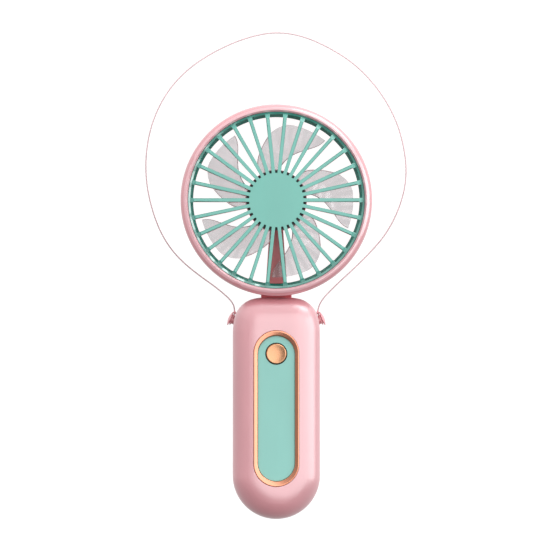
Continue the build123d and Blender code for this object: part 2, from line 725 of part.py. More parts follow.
def make_rotor():
    """Shaft, laminated three-pole core, windings and commutator, which turn with the impeller."""
    with BuildPart() as motor_shaft:
        with BuildSketch(head_level(MOTOR_Z + 0.2)):
            Circle(SHAFT_R)
        extrude(amount=SHAFT_TOP - MOTOR_Z - 0.2)
    motor_shaft.part.label = "motor_shaft"
    export_step(motor_shaft.part, "parts/motor_shaft.step")

    with BuildPart() as rotor_core:
        with BuildSketch(head_level(CORE_Z)):
            with PolarLocations((CORE_R + 2) / 2, POLES):
                Rectangle(CORE_R - 2, 2.4)
            with PolarLocations(CORE_R, POLES):
                Rectangle(3.2, 11)
            Circle(CORE_R, mode=Mode.INTERSECT)
            Circle(3.0)
            Circle(SHAFT_R, mode=Mode.SUBTRACT)
        extrude(amount=CORE_T)
    rotor_core.part.label = "rotor_core"
    export_step(rotor_core.part, "parts/rotor_core.step")

    with BuildPart() as rotor_windings:
        with BuildSketch(head_level(CORE_Z - 1.1)):
            with PolarLocations(5.3, POLES):
                Rectangle(3.6, 4.6)
        extrude(amount=CORE_T + 2.2)
        with BuildSketch(head_level(CORE_Z)):
            with PolarLocations(5.3, POLES):
                Rectangle(5, 2.4)
        extrude(amount=CORE_T, mode=Mode.SUBTRACT)
    rotor_windings.part.label = "rotor_windings"
    export_step(rotor_windings.part, "parts/rotor_windings.step")

    with BuildPart() as commutator:
        with BuildSketch(head_level(MOTOR_Z + CAP_T + 0.1)):
            Circle(2.4)
            Circle(SHAFT_R, mode=Mode.SUBTRACT)
        extrude(amount=1.6)
    commutator.part.label = "commutator"
    export_step(commutator.part, "parts/commutator.step")

    with BuildPart() as motor_brushes:
        with BuildSketch(head_level(MOTOR_Z + CAP_T)):
            with Locations((-2, 2.6), (2, -2.6)):
                Rectangle(9, 0.3)
        extrude(amount=0.6)
    motor_brushes.part.label = "motor_brushes"
    export_step(motor_brushes.part, "parts/motor_brushes.step")

    with BuildPart() as motor_screws:
        with BuildSketch(head_level(GUARD_Z + 0.1)):
            with Locations((-8, 0), (8, 0)):
                Circle(SCREW_HEAD_R)
        extrude(amount=1.2)
        with BuildSketch(head_level(GUARD_Z + 1.2)):
            with Locations((-8, 0), (8, 0)):
                Circle(SCREW_R)
        extrude(amount=3.2)
        with BuildSketch(head_level(GUARD_Z + 0.1)):
            with Locations((-8, 0), (8, 0)):
                Rectangle(2.2, 0.45)
                Rectangle(0.45, 2.2)
        extrude(amount=0.6, mode=Mode.SUBTRACT)
    motor_screws.part.label = "motor_screws"
    export_step(motor_screws.part, "parts/motor_screws.step")


# ---- frame, panel and button ----

def make_front_trim():
    """Rose-gold frame with a band sloping down to the mint panel, and the panel behind it."""
    clear_w = FRAME_W - 2 * FRAME_BAND
    clear_length = FRAME_LENGTH - 2 * FRAME_END_BAND
    with BuildPart() as panel_frame:
        with BuildSketch(level(FLANGE_TOP)):
            with Locations((0, FRAME_Y)):
                SlotOverall(FRAME_LENGTH, FRAME_W, rotation=90)
        with BuildSketch(level(FRAME_TOP)):
            with Locations((0, FRAME_Y)):
                SlotOverall(FRAME_LENGTH - 0.3, FRAME_W - 0.3, rotation=90)
        loft(ruled=True)
        with BuildSketch(level(FLANGE_TOP - FLANGE_T)):
            with Locations((0, FRAME_Y)):
                SlotOverall(FRAME_FLANGE_LENGTH, FRAME_FLANGE_W, rotation=90)
        extrude(amount=FLANGE_T)
        with BuildSketch(level(PANEL_TOP - 0.1)):
            with Locations((0, FRAME_Y)):
                SlotOverall(clear_length, clear_w, rotation=90)
        with BuildSketch(level(FRAME_TOP + 0.001)):
            with Locations((0, FRAME_Y)):
                SlotOverall(FRAME_LENGTH - 1.3, FRAME_W - 1.3, rotation=90)
        loft(ruled=True, mode=Mode.SUBTRACT)
        with BuildSketch(level(FLANGE_TOP - FLANGE_T - 1)):
            with Locations((0, FRAME_Y)):
                SlotOverall(clear_length, clear_w, rotation=90)
        extrude(amount=PANEL_TOP - FLANGE_TOP + FLANGE_T + 1, mode=Mode.SUBTRACT)
    panel_frame.part.label = "panel_frame"
    export_step(panel_frame.part, "parts/panel_frame.step")

    with BuildPart() as front_panel:
        with BuildSketch(level(FLANGE_TOP - FLANGE_T - PANEL_BASE_T)):
            with Locations((0, FRAME_Y)):
                SlotOverall(FRAME_FLANGE_LENGTH - 1, FRAME_FLANGE_W - 1, rotation=90)
        extrude(amount=PANEL_BASE_T)
        with BuildSketch(level(FLANGE_TOP - FLANGE_T)):
            with Locations((0, FRAME_Y)):
                SlotOverall(clear_length - 0.1, clear_w - 0.1, rotation=90)
        extrude(amount=PANEL_TOP - FLANGE_TOP + FLANGE_T)
        with BuildSketch(level(FRAME_TOP)):
            with Locations((0, BUTTON_Y)):
                Circle(BUTTON_HOLE_R)
        extrude(amount=-8, mode=Mode.SUBTRACT)
        chamfer(front_panel.edges().filter_by(GeomType.CIRCLE).group_by(Axis.Z)[-1].group_by(SortBy.LENGTH)[0], 0.2)
    front_panel.part.label = "front_panel"
    export_step(front_panel.part, "parts/front_panel.step")


def make_button():
    """Rose-gold cap with a dished face, and the switch plunger under it: both travel together."""
    flange_top = FLANGE_TOP - FLANGE_T - PANEL_BASE_T - 0.05
    flange_base = flange_top - 0.7
    section = Plane(origin=(0, BUTTON_Y, 0), x_dir=(1, 0, 0), z_dir=(0, -1, 0))
    dish = BUTTON_DISH_R - math.sqrt(BUTTON_DISH_R ** 2 - (BUTTON_R - 0.5) ** 2)
    dish_deg = math.degrees(math.asin((BUTTON_R - 0.5) / BUTTON_DISH_R))
    with BuildPart() as button_cap:
        with BuildSketch(section):
            with BuildLine():
                Polyline(
                    (0, BUTTON_TOP - dish),
                    (0, flange_base),
                    (BUTTON_FLANGE_R, flange_base),
                    (BUTTON_FLANGE_R, flange_top),
                    (BUTTON_R, flange_top),
                    (BUTTON_R, BUTTON_TOP - 0.5),
                )
                CenterArc((BUTTON_R - 0.5, BUTTON_TOP - 0.5), 0.5, 0, 90)
                CenterArc((0, BUTTON_TOP - dish + BUTTON_DISH_R), BUTTON_DISH_R, 270, dish_deg)
            make_face()
        revolve(axis=Axis((0, BUTTON_Y, 0), (0, 0, 1)))
    button_cap.part.label = "button_cap"
    export_step(button_cap.part, "parts/button_cap.step")

    body_top = BOARD_Z + BOARD_T + SWITCH_H
    with BuildPart() as switch_body:
        with BuildSketch(level(BOARD_Z + BOARD_T)):
            with Locations((0, BUTTON_Y)):
                RectangleRounded(SWITCH_SIDE, SWITCH_SIDE, 0.4)
        extrude(amount=SWITCH_H)
        with BuildSketch(level(body_top)):
            with Locations((0, BUTTON_Y)):
                Circle(PLUNGER_R + 0.06)
        extrude(amount=-(PLUNGER_DEPTH + BUTTON_TRAVEL + 0.3), mode=Mode.SUBTRACT)
    switch_body.part.label = "switch_body"
    export_step(switch_body.part, "parts/switch_body.step")

    with BuildPart() as switch_plunger:
        with BuildSketch(level(body_top - PLUNGER_DEPTH)):
            with Locations((0, BUTTON_Y)):
                Circle(PLUNGER_R)
        extrude(amount=flange_base - body_top + PLUNGER_DEPTH)
    switch_plunger.part.label = "switch_plunger"
    export_step(switch_plunger.part, "parts/switch_plunger.step")


# ---- boards and charging socket ----

def make_boards():
    board_top = BOARD_Z + BOARD_T
    with BuildPart() as main_board:
        with BuildSketch(level(BOARD_Z)):
            with Locations((0, (BOARD_TOP_Y + BOARD_END_Y) / 2)):
                RectangleRounded(BOARD_W, BOARD_TOP_Y - BOARD_END_Y, 1.5)
            with Locations(*BOARD_POSTS):
                Circle(0.8, mode=Mode.SUBTRACT)
        extrude(amount=BOARD_T)
    main_board.part.label = "main_board"
    export_step(main_board.part, "parts/main_board.step")

    with BuildPart() as board_chips:
        with BuildSketch(level(board_top)):
            with Locations((-6, -30), (5.5, -31)):
                Rectangle(5, 4)
            with Locations((0, -40)):
                RectangleRounded(7, 7, 1)
        extrude(amount=1.7)
        with BuildSketch(level(board_top)):
            with GridLocations(3.2, 4, 2, 2):
                with Locations((-10.6, -37), (9.4, -38)):
                    Rectangle(1.6, 0.9)
        extrude(amount=0.6)
    board_chips.part.label = "board_chips"
    export_step(board_chips.part, "parts/board_chips.step")

    with BuildPart() as board_screws:
        with BuildSketch(level(BOARD_Z - 0.9)):
            with Locations(*BOARD_POSTS):
                Circle(1.4)
        extrude(amount=0.9)
        with BuildSketch(level(BOARD_Z)):
            with Locations(*BOARD_POSTS):
                Circle(0.7)
        extrude(amount=3.6)
    board_screws.part.label = "board_screws"
    export_step(board_screws.part, "parts/board_screws.step")


def make_charging_socket():
    face = Plane(origin=(0, HANDLE_END_Y + 0.9, PORT_Z), x_dir=(1, 0, 0), z_dir=(0, -1, 0))
    usb_top = USB_BOARD_Z + BOARD_T
    with BuildPart() as usb_board:
        with BuildSketch(level(USB_BOARD_Z)):
            with Locations((0, HANDLE_END_Y + 7.4)):
                Rectangle(14, 7)
            with Locations(*USB_POSTS):
                Circle(0.8, mode=Mode.SUBTRACT)
        extrude(amount=BOARD_T)
    usb_board.part.label = "usb_board"
    export_step(usb_board.part, "parts/usb_board.step")

    with BuildPart() as usb_shell:
        with BuildSketch(face):
            RectangleRounded(PORT_W, PORT_H, 1.5)
            RectangleRounded(PORT_W - 0.6, PORT_H - 0.6, 1.2, mode=Mode.SUBTRACT)
        extrude(amount=-7.3)
        with BuildSketch(face.offset(-6.9)):
            RectangleRounded(PORT_W - 0.4, PORT_H - 0.4, 1.3)
        extrude(amount=-0.4)
    usb_shell.part.label = "usb_shell"
    export_step(usb_shell.part, "parts/usb_shell.step")

    with BuildPart() as usb_tongue:
        with BuildSketch(face.offset(-0.8)):
            Rectangle(6.7, 0.7)
        extrude(amount=-6.1)
    usb_tongue.part.label = "usb_tongue"
    export_step(usb_tongue.part, "parts/usb_tongue.step")

    with BuildPart() as usb_screws:
        with BuildSketch(level(usb_top)):
            with Locations(*USB_POSTS):
                Circle(1.1)
        extrude(amount=0.8)
        with BuildSketch(level(usb_top)):
            with Locations(*USB_POSTS):
                Circle(0.7)
        extrude(amount=-3.6)
    usb_screws.part.label = "usb_screws"
    export_step(usb_screws.part, "parts/usb_screws.step")


# ---- cell ----

def make_cell():
    end = Plane(origin=(0, CELL_TOP_Y, CELL_Z), x_dir=(1, 0, 0), z_dir=(0, -1, 0))
    with BuildPart() as battery_cell:
        with BuildSketch(end):
            Circle(CELL_R)
        extrude(amount=CELL_L)
        fillet(battery_cell.edges().filter_by(GeomType.CIRCLE), 0.8)
        with BuildSketch(end):
            Circle(2.8)
        extrude(amount=-0.8)
    battery_cell.part.label = "battery_cell"
    export_step(battery_cell.part, "parts/battery_cell.step")

    with BuildPart() as battery_sleeve:
        with BuildSketch(end.offset(1.0)):
            Circle(CELL_R + SLEEVE_T)
            Circle(CELL_R, mode=Mode.SUBTRACT)
        extrude(amount=CELL_L - 2.0)
    battery_sleeve.part.label = "battery_sleeve"
    export_step(battery_sleeve.part, "parts/battery_sleeve.step")

    with BuildPart() as battery_ring:
        with BuildSketch(end):
            Circle(7.6)
            Circle(3.6, mode=Mode.SUBTRACT)
        extrude(amount=-0.25)
    battery_ring.part.label = "battery_ring"
    export_step(battery_ring.part, "parts/battery_ring.step")

    with BuildPart() as battery_tabs:
        with BuildSketch(end.offset(-0.8)):
            Rectangle(5, 12)
        extrude(amount=-0.2)
        with BuildSketch(end.offset(CELL_L)):
            Rectangle(5, 12)
        extrude(amount=0.2)
    battery_tabs.part.label = "battery_tabs"
    export_step(battery_tabs.part, "parts/battery_tabs.step")

    with BuildPart() as foam_pads:
        with BuildSketch(level(WALL)):
            with Locations((0, CELL_TOP_Y - 22), (0, CELL_TOP_Y - 42)):
                Rectangle(12, 9)
        extrude(amount=0.5)
    foam_pads.part.label = "foam_pads"
    export_step(foam_pads.part, "parts/foam_pads.step")


# ---- screws of the handle ----

def make_handle_screws():
    with BuildPart() as handle_screws:
        with BuildSketch(level(SEAT_Z - SCREW_HEAD_H)):
            with Locations(*HANDLE_SCREWS):
                Circle(SCREW_HEAD_R)
        extrude(amount=SCREW_HEAD_H)
        with BuildSketch(level(SEAT_Z)):
            with Locations(*HANDLE_SCREWS):
                Circle(SCREW_R)
        extrude(amount=16)
        with BuildSketch(level(SEAT_Z - SCREW_HEAD_H)):
            with Locations(*HANDLE_SCREWS):
                Rectangle(2.3, 0.5)
                Rectangle(0.5, 2.3)
        extrude(amount=0.7, mode=Mode.SUBTRACT)
    handle_screws.part.label = "handle_screws"
    export_step(handle_screws.part, "parts/handle_screws.step")


# ---- strap pegs ----

def make_peg(side, name):
    """A mushroom peg through the shoulder, held by a flange behind the wall."""
    dome_r = (PEG_CAP_R ** 2 + PEG_DOME_H ** 2) / (2 * PEG_DOME_H)
    dome_deg = math.degrees(math.asin(PEG_CAP_R / dome_r))
    with BuildPart() as peg:
        with BuildSketch(peg_section(side)):
            with BuildLine():
                Polyline(
                    (0, -4.0),
                    (3.0, -4.0),
                    (3.0, -3.1),
                    (PEG_STEM_R, -3.1),
                    (PEG_STEM_R, PEG_CAP_S),
                    (PEG_CAP_R, PEG_CAP_S),
                    (PEG_CAP_R, PEG_CAP_S + 0.45),
                )
                dome = CenterArc((0, PEG_CAP_S + PEG_DOME_H + 0.45 - dome_r), dome_r, 90 - dome_deg, dome_deg)
                Line(dome @ 1, (0, -4.0))
            make_face()
        revolve(axis=Axis(peg_origin(side), peg_axis(side)))
    peg.part.label = name
    export_step(peg.part, "parts/" + name + ".step")
    return peg.part


# ---- cord ----

def knot_place(side):
    """The middle of the knot, up the handle from the peg."""
    across = Vector(-side * math.sin(math.radians(PEG_TILT)), math.cos(math.radians(PEG_TILT)), 0)
    return peg_origin(side) + peg_axis(side) * LOOP_S + across * KNOT_OUT


def cord_start(side, way):
    """Where the cord leaves its knot."""
    return knot_place(side) + unit(way) * KNOT_NECK


def make_cord_end(side, way, name):
    """The cord's loop round the peg's stem, closed by a knot whose neck points along the cord."""
    axis = peg_axis(side)
    loop_r = PEG_STEM_R + CORD_D / 2 + 0.03
    knot = knot_place(side)
    with BuildPart() as end:
        with BuildSketch(peg_section(side)):
            with Locations((loop_r, LOOP_S)):
                Circle(CORD_D / 2)
        revolve(axis=Axis(peg_origin(side), axis))
        with Locations(knot):
            Sphere(KNOT_R)
        with BuildSketch(Plane(origin=knot, z_dir=unit(way))):
            Circle(CORD_D / 2)
        extrude(amount=KNOT_NECK)
    end.part.label = name
    export_step(end.part, "parts/" + name + ".step")
    return end.part


# The route from the left knot to the right one. The cord drops from each peg to the surface that the
# fan lies on, and lies there in one wide loop round the head.
ROUTE_MIDDLE = (
    (-20.3, 2.5, 13.9),
    (-21.6, 5.0, 12.2),
    (-24.7, 8.1, 9.4),
    (-30.2, 12.5, 5.5),
    (-37.2, 17.4, 2.3),
    (-44.4, 23.1, 0.7),
    (-50.8, 29.8, CORD_FLOOR),
    (-56.2, 38.4, CORD_FLOOR),
    (-60.4, 49.6, CORD_FLOOR),
    (-63.2, 63.0, CORD_FLOOR),
    (-63.3, 77.2, CORD_FLOOR),
    (-60.2, 92.4, CORD_FLOOR),
    (-53.0, 106.8, CORD_FLOOR),
    (-42.6, 118.0, CORD_FLOOR),
    (-29.6, 126.4, CORD_FLOOR),
    (-15.4, 132.6, CORD_FLOOR),
    (-1.2, 135.7, CORD_FLOOR),
    (12.4, 133.9, CORD_FLOOR),
    (26.2, 127.8, CORD_FLOOR),
    (39.0, 119.4, CORD_FLOOR),
    (50.4, 106.9, CORD_FLOOR),
    (58.4, 92.6, CORD_FLOOR),
    (62.5, 77.4, CORD_FLOOR),
    (63.2, 63.4, CORD_FLOOR),
    (59.6, 49.6, CORD_FLOOR),
    (53.2, 37.4, CORD_FLOOR),
    (45.2, 28.3, CORD_FLOOR + 0.1),
    (37.9, 21.1, 2.3),
    (30.6, 15.3, 5.1),
    (24.8, 10.9, 8.8),
    (21.0, 7.2, 11.7),
    (20.1, 3.6, 13.5),
)


def cord_route():
    start = cord_start(-1, EXIT_LEFT)
    finish = cord_start(1, EXIT_RIGHT)
    return [start, *(Vector(*p) for p in ROUTE_MIDDLE), finish]


def corner_radii(route):
    """The largest tangent arc that each corner's two runs leave room for."""
    radii = []
    for before, here, after in zip(route, route[1:], route[2:]):
        run_in = here - before
        run_out = after - here
        half_turn = math.radians(run_in.get_angle(run_out)) / 2
        radii.append(0.45 * min(run_in.length, run_out.length) / math.tan(half_turn))
    return radii


def make_cord():
    route = cord_route()
    radii = corner_radii(route)
    with BuildPart() as cord:
        with BuildLine() as path:
            FilletPolyline(*route, radius=radii)
        with BuildSketch(Plane(origin=path.line @ 0, z_dir=path.line % 0)):
            Circle(CORD_D / 2)
        sweep(path=path.line)
    cord.part.label = "cord"
    export_step(cord.part, "parts/cord.step")
    ideal = math.pi * CORD_D ** 2 / 4 * path.wire().length
    print("cord radii in diameters:", [round(r / CORD_D, 1) for r in radii])
    print("cord runs:", [round((b - a).length, 1) for a, b in zip(route, route[1:])])
    print("cord length", round(path.wire().length, 1), "volume", round(cord.part.volume, 2), "of", round(ideal, 2))
    print("cord ends", [round(v, 3) for v in route[0]], [round(v, 3) for v in route[-1]])


# ---- leads inside the fan ----

def make_lead(name, points, bend):
    """An insulated lead: a round tube along straight runs with rounded corners."""
    with BuildPart() as lead:
        with BuildLine() as path:
            FilletPolyline(*points, radius=bend)
        with BuildSketch(Plane(origin=path.line @ 0, z_dir=path.line % 0)):
            Circle(WIRE_R)
        sweep(path=path.line)
    lead.part.label = name
    export_step(lead.part, "parts/" + name + ".step")
    return lead.part


def make_leads():
    terminal_y = HEAD_Y - MOTOR_R - 1.7
    terminal_z = MOTOR_Z + 1.3
    for name, x in (("motor_lead_red", 1.3), ("motor_lead_black", -1.3)):
        points = (
            (x, -9.5, BOARD_Z),
            (x, -9.5, 14.6),
            (x, -4.5, LEAD_Z),
            (x, 15.0, LEAD_Z),
            (x, 30.0, terminal_z),
            (x, terminal_y, terminal_z),
        )
        make_lead(name, points, 1.6)
    charge_y = HANDLE_END_Y + 10.4
    charge_z = USB_BOARD_Z + BOARD_T
    for name, x, y in (("charge_lead_red", 12.6, -48.6), ("charge_lead_black", -12.6, -48.6)):
        side = 1 if x > 0 else -1
        points = (
            (side * 2.2, charge_y, charge_z),
            (side * 2.2, charge_y, charge_z + 3.4),
            (side * 8.6, charge_y + 0.6, charge_z + 3.4),
            (x - side * 2.0, -80.0, charge_z + 4.6),
            (x - side * 1.6, -52.0, charge_z + 4.6),
            (x - side * 2.4, y, BOARD_Z - 0.9),
            (x - side * 2.4, y, BOARD_Z),
        )
        make_lead(name, points, 0.4)
    top = CELL_TOP_Y + 1.0
    make_lead("battery_lead_red", ((0, top, 9.0), (0, top + 2.4, 9.0), (0, top + 2.4, BOARD_Z)), 1.2)
    end = CELL_TOP_Y - CELL_L - 0.2
    points = (
        (0, end, 9.0),
        (0, end - 1.6, 9.0),
        (10.6, end - 1.0, 10.6),
        (11.2, -48.0, 10.6),
        (11.2, -44.4, 17.0),
        (11.2, -44.4, BOARD_Z),
    )
    make_lead("battery_lead_black", points, 0.9)


make_handle_front()
make_handle_back()
make_neck()
make_head_front()
make_head_rear()
make_rear_guard()
make_strut_cover()
make_front_grille()
make_impeller()
make_motor_shell()
make_rotor()
make_front_trim()
make_button()
make_boards()
make_charging_socket()
make_cell()
make_handle_screws()
make_peg(-1, "peg_left")
make_peg(1, "peg_right")
make_cord_end(-1, EXIT_LEFT, "cord_end_left")
make_cord_end(1, EXIT_RIGHT, "cord_end_right")
make_cord()
make_leads()
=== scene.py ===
import json
import math

import bmesh
import bpy
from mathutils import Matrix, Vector
from mathutils.geometry import convex_hull_2d


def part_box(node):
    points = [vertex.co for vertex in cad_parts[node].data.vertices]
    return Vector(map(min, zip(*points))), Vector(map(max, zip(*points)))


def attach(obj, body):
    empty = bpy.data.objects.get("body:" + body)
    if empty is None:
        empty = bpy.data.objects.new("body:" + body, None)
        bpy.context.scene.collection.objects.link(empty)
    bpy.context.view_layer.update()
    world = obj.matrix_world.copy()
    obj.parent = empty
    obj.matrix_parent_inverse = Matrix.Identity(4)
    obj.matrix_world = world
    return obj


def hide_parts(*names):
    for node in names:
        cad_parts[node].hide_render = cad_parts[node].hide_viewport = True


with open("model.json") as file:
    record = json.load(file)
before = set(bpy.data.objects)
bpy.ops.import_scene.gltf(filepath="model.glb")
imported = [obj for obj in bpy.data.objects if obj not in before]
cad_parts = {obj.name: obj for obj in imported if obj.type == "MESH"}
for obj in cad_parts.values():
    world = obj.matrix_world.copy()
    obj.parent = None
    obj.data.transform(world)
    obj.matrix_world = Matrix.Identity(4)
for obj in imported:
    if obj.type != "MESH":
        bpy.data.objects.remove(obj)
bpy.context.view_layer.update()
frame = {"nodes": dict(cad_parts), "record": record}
nodes = frame["nodes"]
rows = {row["node"]: row for row in frame["record"]["subparts"]}
MM = 0.001
UP = Vector((0, 0, 1))


# ---- places, from the frame ----

head_low, head_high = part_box("head_front")
HEAD = Vector(((head_low.x + head_high.x) / 2, (head_low.y + head_high.y) / 2, 0))
GRILLE_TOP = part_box("front_grille")[1].z
button_low, button_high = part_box("button_cap")
BUTTON = (button_low + button_high) / 2


# ---- camera ----

VIEW_WIDTH = 265.6 * MM      # what the square picture spans at the fan
VIEW_CENTRE = Vector((-0.4 * MM, 17.5 * MM, 15 * MM))
CAMERA_HEIGHT = 2.6
SENSOR = 36.0


def make_camera():
    """A long lens straight above the fan, which lies on its back."""
    data = bpy.data.cameras.new("camera")
    data.sensor_width = SENSOR
    data.lens = SENSOR * CAMERA_HEIGHT / VIEW_WIDTH
    data.clip_start, data.clip_end = 0.05, 60
    camera = bpy.data.objects.new("camera", data)
    camera.location = VIEW_CENTRE + Vector((0, 0, CAMERA_HEIGHT))
    bpy.context.collection.objects.link(camera)
    bpy.context.scene.camera = camera


# ---- node helpers ----

def new_material(name):
    """A material with one Principled shader, and what its nodes are made with."""
    material = bpy.data.materials.new(name)
    material.use_nodes = True
    tree = material.node_tree
    return material, tree, tree.nodes["Principled BSDF"]


def node(tree, kind, **values):
    """A new node with its settings and its inputs' values; an underscore stands for a space."""
    made = tree.nodes.new(kind)
    for key, value in values.items():
        if hasattr(made, key):
            setattr(made, key, value)
        else:
            made.inputs[key.replace("_", " ")].default_value = value
    return made


def object_noise(tree, scale, detail=2.0, stretch=(1, 1, 1)):
    """Noise in the object's own metres, stretched along its axes."""
    place = node(tree, "ShaderNodeTexCoord")
    spread = node(tree, "ShaderNodeMapping", Scale=stretch)
    noise = node(tree, "ShaderNodeTexNoise", Scale=scale, Detail=detail)
    tree.links.new(place.outputs["Object"], spread.inputs["Vector"])
    tree.links.new(spread.outputs["Vector"], noise.inputs["Vector"])
    return noise.outputs["Fac"]


def between(tree, source, low, high):
    """A noise factor, mostly 0.3 to 0.7, spread out to run from low to high."""
    ranged = node(tree, "ShaderNodeMapRange", From_Min=0.3, From_Max=0.7, To_Min=low, To_Max=high)
    tree.links.new(source, ranged.inputs["Value"])
    return ranged.outputs["Result"]


def tinted(tree, source, colour, other):
    """Two colours mixed by a factor."""
    mix = node(tree, "ShaderNodeMix", data_type="RGBA")
    tree.links.new(source, mix.inputs["Factor"])
    for socket in mix.inputs:
        if socket.type == "RGBA" and socket.name == "A":
            socket.default_value = (*colour, 1)
        if socket.type == "RGBA" and socket.name == "B":
            socket.default_value = (*other, 1)
    return next(s for s in mix.outputs if s.type == "RGBA")


def bumped(tree, shader, source, depth):
    """Bumps of a depth in millimetres."""
    bump = node(tree, "ShaderNodeBump", Strength=1.0, Distance=depth * MM)
    tree.links.new(source, bump.inputs["Height"])
    tree.links.new(bump.outputs["Normal"], shader.inputs["Normal"])


def mottled(tree, shader, source, colour, darkest, brightest):
    """The base colour between two shades of one colour, by a factor."""
    colours = tinted(tree, source, shade(colour, darkest), shade(colour, brightest))
    tree.links.new(colours, shader.inputs["Base Color"])


def shade(colour, by):
    """The colour made brighter or darker."""
    return tuple(min(1.0, c * by) for c in colour)


# ---- materials ----

def plastic(name, colour, rough, grain=3200, grain_depth=0.006, coat=0.0, gleam=0.5, coat_rough=0.30):
    """Moulded plastic: faint flow marks in the colour, smudges in the gloss and a fine spark-worn grain.

    The grain's depth is in millimetres. The gleam is the specular level, and the coat lays a broad white
    sheen over the colour.
    """
    material, tree, shader = new_material(name)
    flow = between(tree, object_noise(tree, 55, 3.0, (1, 0.4, 1)), 0, 1)
    mottled(tree, shader, flow, colour, 0.95, 1.05)
    smudge = object_noise(tree, 90, 4.0)
    tree.links.new(between(tree, smudge, rough * 0.9, rough * 1.12), shader.inputs["Roughness"])
    bumped(tree, shader, object_noise(tree, grain, 1.0), grain_depth)
    shader.inputs["IOR"].default_value = 1.5
    shader.inputs["Specular IOR Level"].default_value = gleam
    shader.inputs["Coat Weight"].default_value = coat
    shader.inputs["Coat IOR"].default_value = 2.5
    shader.inputs["Coat Roughness"].default_value = coat_rough
    return material


def metal(name, colour, rough, stretch=(1, 1, 1), scale=900, change=0.06, grain_depth=0.002):
    """Metal with a fine grain, drawn out along an axis by the stretch."""
    material, tree, shader = new_material(name)
    shader.inputs["Metallic"].default_value = 1.0
    grain = object_noise(tree, scale, 4.0, stretch)
    mottled(tree, shader, between(tree, grain, 0, 1), colour, 1 - change, 1 + change)
    tree.links.new(between(tree, grain, rough * 0.8, rough * 1.2), shader.inputs["Roughness"])
    bumped(tree, shader, grain, grain_depth)
    return material


def smoky(name):
    """Clear grey plastic of the blades, slightly clouded."""
    material, tree, shader = new_material(name)
    cloud = between(tree, object_noise(tree, 70, 3.0), 0, 1)
    colours = tinted(tree, cloud, (0.74, 0.705, 0.72), (0.82, 0.785, 0.80))
    tree.links.new(colours, shader.inputs["Base Color"])
    tree.links.new(between(tree, object_noise(tree, 160, 3.0), 0.04, 0.12), shader.inputs["Roughness"])
    shader.inputs["Transmission Weight"].default_value = 0.86
    shader.inputs["IOR"].default_value = 1.45
    return material


def circuit_board(name):
    """Green solder mask over faint copper tracks."""
    material, tree, shader = new_material(name)
    place = node(tree, "ShaderNodeTexCoord")
    tracks = node(tree, "ShaderNodeTexBrick", Scale=260.0, Mortar_Size=0.012, Color1=(0.02, 0.16, 0.08, 1),
                  Color2=(0.025, 0.19, 0.09, 1), Mortar=(0.06, 0.30, 0.14, 1))
    tree.links.new(place.outputs["Object"], tracks.inputs["Vector"])
    tree.links.new(tracks.outputs["Color"], shader.inputs["Base Color"])
    bumped(tree, shader, tracks.outputs["Fac"], 0.01)
    shader.inputs["Roughness"].default_value = 0.3
    return material


def twisted(name, colour, length, pitch, strands):
    """Yarn of the cord: strands laid round each other, of fine filaments with a silky sheen."""
    material, tree, shader = new_material(name)
    place = node(tree, "ShaderNodeTexCoord")
    per_wave = math.tau / 10         # the diagonal bands of the wave texture repeat at this distance
    lay = node(tree, "ShaderNodeMapping", Scale=(length / pitch * per_wave, strands * per_wave, 0))
    wave = node(tree, "ShaderNodeTexWave", bands_direction="DIAGONAL", Scale=1.0)
    tree.links.new(place.outputs["UV"], lay.inputs["Vector"])
    tree.links.new(lay.outputs["Vector"], wave.inputs["Vector"])
    fibres = object_noise(tree, 2600, 3.0)
    mixed = node(tree, "ShaderNodeMath", operation="MULTIPLY_ADD")
    mixed.inputs[1].default_value = 0.25
    tree.links.new(fibres, mixed.inputs[0])
    tree.links.new(wave.outputs["Fac"], mixed.inputs[2])
    mottled(tree, shader, mixed.outputs["Value"], colour, 0.72, 1.15)
    tree.links.new(between(tree, fibres, 0.5, 0.75), shader.inputs["Roughness"])
    bumped(tree, shader, mixed.outputs["Value"], 0.09)
    shader.inputs["Sheen Weight"].default_value = 0.3
    return material


def wound(name, colour):
    """Yarn of the knots and loops, wound in fine turns."""
    material, tree, shader = new_material(name)
    place = node(tree, "ShaderNodeTexCoord")
    wave = node(tree, "ShaderNodeTexWave", bands_direction="DIAGONAL", Scale=900.0, Distortion=1.5)
    tree.links.new(place.outputs["Object"], wave.inputs["Vector"])
    mottled(tree, shader, wave.outputs["Fac"], colour, 0.84, 1.12)
    tree.links.new(between(tree, object_noise(tree, 2600, 3.0), 0.5, 0.75), shader.inputs["Roughness"])
    bumped(tree, shader, wave.outputs["Fac"], 0.07)
    shader.inputs["Sheen Weight"].default_value = 0.3
    return material


STRAND_PITCH = 1.5 * MM      # how far along the cord a strand goes once round


